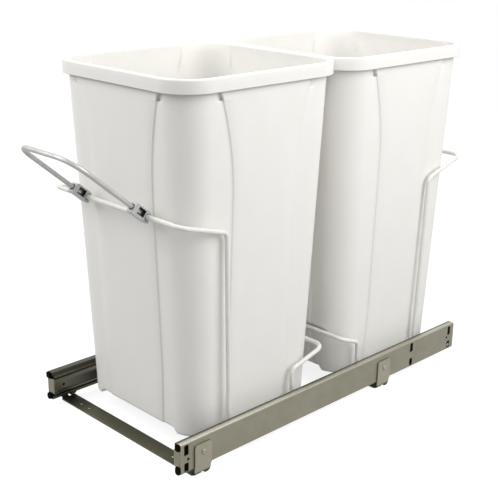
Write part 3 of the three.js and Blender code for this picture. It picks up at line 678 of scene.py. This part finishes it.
# The creases lie at CREASE_HALF either side of a panel's middle. They part by CREASE_FLARE above
# FLARE_LEVEL and shift by CREASE_SHIFT below SHIFT_LEVEL. The first number of each pair is for the
# panels at the front and rear, the second for those at the sides.
CREASE_HALF = (58, 50.5)
CREASE_FLARE = (20, 24)
CREASE_SHIFT = (-4.5, 4)
FLARE_LEVEL = 322
SHIFT_LEVEL = 110

# Points round a bin: shares across a panel, distances past a crease, and steps over a column.
PANEL = [-1, -0.75, -0.5, -0.25, 0, 0.25, 0.5, 0.75, 1]
CREASE = [0.6, 1.2, 1.8, 2.4]
COLUMN = 30


def lerp(a, b, t):
    return a + (b - a) * t


def smooth(t):
    t = min(max(t, 0.0), 1.0)
    return t * t * (3 - 2 * t)


def body_sizes(height):
    t = (height - BIN_FOOT) / (BIN_RIM_BOTTOM - BIN_FOOT)
    half = [lerp(BOTTOM_HALF[i], TOP_HALF[i], t) for i in (0, 1)]
    return half, lerp(BOTTOM_RADIUS, TOP_RADIUS, t)


def crease_half(height):
    t = max(min(height, BIN_RIM_BOTTOM) - FLARE_LEVEL, 0) / (BIN_RIM_BOTTOM - FLARE_LEVEL)
    low = smooth((SHIFT_LEVEL - height) / (SHIFT_LEVEL - BIN_FOOT))
    return [
        half + flare * t * t + shift * low
        for half, flare, shift in zip(CREASE_HALF, CREASE_FLARE, CREASE_SHIFT)
    ]


def bin_level(height, sizes, inset=0.0, relief=1.0, pocket=0.0, foot=None):
    """Points round a bin at one height. foot is the lower height that the columns reach."""
    half, radius = sizes
    edges = crease_half(height)
    points = []
    for face in range(4):
        this, other = face % 2, 1 - face % 2
        reach, span = half[this], half[other]
        edge, next_edge = edges[other], edges[this]
        ring = [(reach - inset, edge * share, 0.0) for share in PANEL]
        run = span - radius - edge
        next_run = reach - radius - next_edge
        arc = radius * math.pi / 2
        total = run + arc + next_run
        over = [(k + 1) / (COLUMN + 1) for k in range(COLUMN)]
        stations = CREASE + [lerp(CREASE[-1], total - CREASE[-1], share) for share in over]
        stations += [total - s for s in reversed(CREASE)]
        for s in stations:
            near = min(s, total - s)
            deep = inset + RELIEF * relief * smooth(near / CREASE[-1])
            if pocket:
                deep += pocket * POCKET_DEPTH * (
                    smooth(near / POCKET_WALL)
                    - smooth((near - POCKET_WALL) / (POCKET_WIDTH - POCKET_WALL))
                )
            low = smooth((near - FOOT_RAMP[0]) / FOOT_RAMP[1])
            if s < run:
                out, along = reach - deep, edge + s
            elif s > run + arc:
                out, along = next_edge + total - s, span - deep
            else:
                angle = (s - run) / radius
                out = reach - radius + (radius - deep) * math.cos(angle)
                along = span - radius + (radius - deep) * math.sin(angle)
            ring.append((out, along, low))
        for out, along, low in ring:
            x, y = [(out, along), (-along, out), (-out, -along), (along, -out)][face]
            z = height if foot is None else lerp(height, foot, low)
            points.append((x, y, z))
    return points


def wall(height, inset=0.0, **options):
    return bin_level(height, body_sizes(height), inset, **options)


def rim(height, inset):
    return bin_level(height, (RIM_HALF, RIM_RADIUS), inset, relief=0.0)


FILLET = 6
FILLET_STEPS = 6
WALL_ROWS = [40 + 18 * k for k in range(22)]
OUTER_ROWS_TOP = 432
# height above a pocket's floor, and the share of its depth there
POCKET_ROWS = [(-2, 0.0), (-1, 0.1), (0, 0.5), (0.8, 0.95), (2, 1.0), (6, 1.0)]
POCKET_ROWS += [(11.6, 1.0), (14, 0.8), (16, 0.4), (18, 0.0)]
POCKET_TOP = 17
NECK = 462  # where the wall turns out to the rim, inside
LIP = 1.6  # rounding of the rim's upper edges
LIP_STEPS = 4
RIM_SHEET = 2.2
RIM_HOLLOW = 3  # how far the rim is open from below
BIN_BASE = 0.4  # rounding of the underside's edges, which also lifts its middle
UNDER_INSET = 28


def quarter(steps):
    """Sine and cosine over a quarter turn."""
    turns = [math.radians(90 * k / steps) for k in range(steps + 1)]
    return [(math.sin(turn), math.cos(turn)) for turn in turns]


def inner_levels():
    """From the floor up to the rim's inner edge."""
    floor = BIN_UNDERSIDE + BIN_BASE + WALL
    levels = [
        wall(floor + FILLET * (1 - c), WALL + FILLET * (1 - s), relief=INNER_RELIEF)
        for s, c in quarter(FILLET_STEPS)
    ]
    levels += [wall(z, WALL, relief=INNER_RELIEF) for z in WALL_ROWS]
    for rise, share in POCKET_ROWS:
        depth = share * INNER_POCKET
        levels.append(wall(POCKET_FLOOR - WALL + rise, WALL, relief=INNER_RELIEF, pocket=depth))
    levels.append(wall(NECK, WALL, relief=0.5))
    return levels


def rim_levels():
    """Over the rim and down to its lower edge."""
    inner = RIM_HALF[0] - TOP_HALF[0] + WALL
    levels = [
        rim(BIN_RIM_TOP - LIP * (1 - s), inner - LIP * (1 - c)) for s, c in quarter(LIP_STEPS)
    ]
    levels += [rim(BIN_RIM_TOP - LIP * (1 - c), LIP * (1 - s)) for s, c in quarter(LIP_STEPS)]
    levels += [rim(BIN_RIM_BOTTOM + rise, 0) for rise in (8, 0.5)]
    levels += [rim(BIN_RIM_BOTTOM, 0.5), rim(BIN_RIM_BOTTOM, RIM_SHEET)]
    levels += [rim(BIN_RIM_BOTTOM + RIM_HOLLOW, RIM_SHEET)]
    return levels


def outer_levels():
    """From under the rim down to the feet and in under the floor."""
    levels = [wall(BIN_RIM_BOTTOM + RIM_HOLLOW, relief=0.8)]
    levels += [
        wall(POCKET_FLOOR + rise, pocket=share)
        for rise, share in reversed(POCKET_ROWS)
        if rise < POCKET_TOP
    ]
    levels += [wall(z) for z in reversed(WALL_ROWS) if z < OUTER_ROWS_TOP]
    for rise, inset in ((4, 0.0), (1.3, 0.0), (BIN_BASE, 0.4), (0, 1.3), (0, UNDER_INSET)):
        levels.append(wall(BIN_UNDERSIDE + rise, inset, foot=BIN_FOOT + rise))
    levels.append(wall(BIN_UNDERSIDE + BIN_BASE, UNDER_INSET + 0.4))
    return levels


def build_bin(place, centre):
    levels = inner_levels() + rim_levels() + outer_levels()
    count = len(levels[0])
    vertices = [(0, 0, levels[0][0][2])]
    for points in levels:
        vertices += points
    vertices.append((0, 0, levels[-1][0][2]))
    faces = []
    for i in range(count):
        on = (i + 1) % count
        faces.append((0, 1 + i, 1 + on))
        for row in range(len(levels) - 1):
            a, b = 1 + row * count, 1 + (row + 1) * count
            faces.append((a + i, b + i, b + on, a + on))
        last = 1 + (len(levels) - 1) * count
        faces.append((last + i, len(vertices) - 1, last + on))
    name = f"{place}_bin"
    placed = [(x, y + centre, z) for x, y, z in vertices]
    return piece(name + "_shell", placed, faces, name, "bin_plastic", (name,), 40)


for place, centre in BIN_CENTRES.items():
    build_bin(place, centre)

# ------------------------------------------------------------------ carried-over solids

SOFT_EDGE = 0.25
SOFT_ANGLE = 28  # degrees: sharper edges than this are rounded
SMOOTH_ANGLE = 30
WELD_GAP = 0.01


def soften(obj):
    """Rounds the hard edges a little and keeps the large faces flat in the shading."""
    weld = obj.modifiers.new("weld", "WELD")
    weld.merge_threshold = WELD_GAP * MM
    bevel = obj.modifiers.new("bevel", "BEVEL")
    bevel.width = SOFT_EDGE * MM
    bevel.segments = 2
    bevel.limit_method = "ANGLE"
    bevel.angle_limit = math.radians(SOFT_ANGLE)
    level = obj.modifiers.new("level", "WEIGHTED_NORMAL")
    level.weight = 100
    level.keep_sharp = True


# The first entry that a node's name holds gives its slot, or its look where that differs.
SLOTS = {
    "cabinet_member": "slide_zinc",
    "intermediate_member": "slide_zinc",
    "drawer_member": "slide_zinc",
    "cross_strip": "strip_zinc",
    "rivet": "fastener_zinc",
    "screw": "fastener_zinc",
    "retainer": "ball_steel",
    "bumper": "black_plastic",
    "side_rail": "white_coat",
    "clamp": "clamp_plastic",
    "wire": "white_coat",
    "hoop": "white_coat",
    "bail": "handle_wire",
    "bin": "bin_plastic",
}
LOOKS = {"drawer_member": "drawer_zinc_light_and_shade", "intermediate_member": "race_zinc_painted_shade"}


def first_of(table, name):
    return next((value for key, value in table.items() if key in name), None)


for name, obj in nodes.items():
    assign(obj, first_of(SLOTS, name), first_of(LOOKS, name))
    if not obj.hide_render:
        obj.data.shade_smooth()
        obj.data.set_sharp_from_angle(angle=math.radians(SMOOTH_ANGLE))
        soften(obj)

# ------------------------------------------------------------------ floor and backdrop

WHITE = (1, 1, 1, 1)
FLOOR_GREY = (0.36, 0.36, 0.36, 1)
FLOOR_GLOW = 0.83
FLOOR_LEVEL = -0.0004
FLOOR_REACH = 40
SKY_LIGHT = 0.47


def shown(tree):
    """The kinds of ray, and 1 for a ray that sees the backdrop and doesn't light with it."""
    rays = make(tree, "ShaderNodeLightPath").outputs
    seen = calc(tree, "MAXIMUM", rays["Is Camera Ray"], rays["Is Glossy Ray"])
    return rays, calc(tree, "MAXIMUM", seen, rays["Is Transmission Ray"])


stage_material, tree = node_tree("floor")
rays, visible = shown(tree)
diffuse = make(tree, "ShaderNodeBsdfDiffuse", Color=FLOOR_GREY)
glow = make(tree, "ShaderNodeEmission", Color=WHITE)
tree.links.new(calc(tree, "MULTIPLY", visible, FLOOR_GLOW), glow.inputs["Strength"])
# a reflection sees the floor without the shadows on it
shaded = tree.nodes.new("ShaderNodeMixShader")
tree.links.new(rays["Is Glossy Ray"], shaded.inputs[0])
tree.links.new(diffuse.outputs[0], shaded.inputs[1])
lit = tree.nodes.new("ShaderNodeAddShader")
tree.links.new(shaded.outputs[0], lit.inputs[0])
tree.links.new(glow.outputs[0], lit.inputs[1])
floor_output = tree.nodes.new("ShaderNodeOutputMaterial")
tree.links.new(lit.outputs[0], floor_output.inputs["Surface"])

floor_mesh = bpy.data.meshes.new("floor")
signs = [(-1, -1), (1, -1), (1, 1), (-1, 1)]
floor_mesh.from_pydata(
    [(x * FLOOR_REACH, y * FLOOR_REACH, FLOOR_LEVEL) for x, y in signs], [], [(0, 1, 2, 3)]
)
floor = bpy.data.objects.new("floor", floor_mesh)
floor_mesh.materials.append(stage_material)
bpy.context.scene.collection.objects.link(floor)

world = bpy.data.worlds.new("studio")
bpy.context.scene.world = world
world.use_nodes = True
tree = world.node_tree
tree.nodes.clear()
rays, visible = shown(tree)
sky = make(tree, "ShaderNodeBackground", Color=WHITE)
tree.links.new(spread(tree, visible, SKY_LIGHT, 1, 0, 1), sky.inputs["Strength"])
world_output = tree.nodes.new("ShaderNodeOutputWorld")
tree.links.new(sky.outputs[0], world_output.inputs["Surface"])

# ------------------------------------------------------------------ lamps

AIM = Vector((0.0, 0.26, 0.25))
LAMPS = {
    # place in metres, size, level that it gives a surface at AIM that faces it
    "front_left": ((-0.68, -0.98, 1.38), 1.3, 0.5),
    "right_rear": ((0.97, 0.5, 1.0), 1.1, 0.71),
    "left_rear": ((-1.0, 1.3, 1.1), 1.1, 0.15),
}


def area_light(name, place, size, brightness):
    data = bpy.data.lights.new(name, "AREA")
    data.shape = "DISK"
    data.size = size
    data.energy = brightness * (math.pi * (place - AIM).length) ** 2
    lamp = bpy.data.objects.new(name, data)
    lamp.location = place
    lamp.rotation_mode = "QUATERNION"
    lamp.rotation_quaternion = (AIM - place).to_track_quat("-Z", "Y")
    bpy.context.scene.collection.objects.link(lamp)


for name, (place, size, brightness) in LAMPS.items():
    area_light(name, Vector(place), size, brightness)

# ------------------------------------------------------------------ camera

# Fitted to the photograph. The focal length is for a picture FRAME_PIXELS on its longer side.
FOCAL_PIXELS = 1008.58
FRAME_PIXELS = 500
SENSOR = 36
CAMERA_PLACE = (952.59, -688.81, 645.77)
CAMERA_TURN = (45.485, 18.632, 0.785)  # azimuth, elevation and roll, in degrees

camera_data = bpy.data.cameras.new("camera")
camera_data.sensor_width = SENSOR
camera_data.lens = FOCAL_PIXELS * SENSOR / FRAME_PIXELS
camera_data.clip_start = 0.01
camera_data.clip_end = 100
camera = bpy.data.objects.new("camera", camera_data)
azimuth, elevation, roll = (math.radians(a) for a in CAMERA_TURN)
back = Vector(
    (
        math.sin(azimuth) * math.cos(elevation),
        -math.cos(azimuth) * math.cos(elevation),
        math.sin(elevation),
    )
)
level_right = Vector((math.cos(azimuth), math.sin(azimuth), 0))
level_up = back.cross(level_right)
right = level_right * math.cos(roll) + level_up * math.sin(roll)
up = level_up * math.cos(roll) - level_right * math.sin(roll)
turned = Matrix((right, up, back)).transposed().to_4x4()
camera.matrix_world = Matrix.Translation(at(*CAMERA_PLACE)) @ turned
bpy.context.scene.collection.objects.link(camera)
bpy.context.scene.camera = camera

bpy.context.scene.view_settings.view_transform = "Standard"
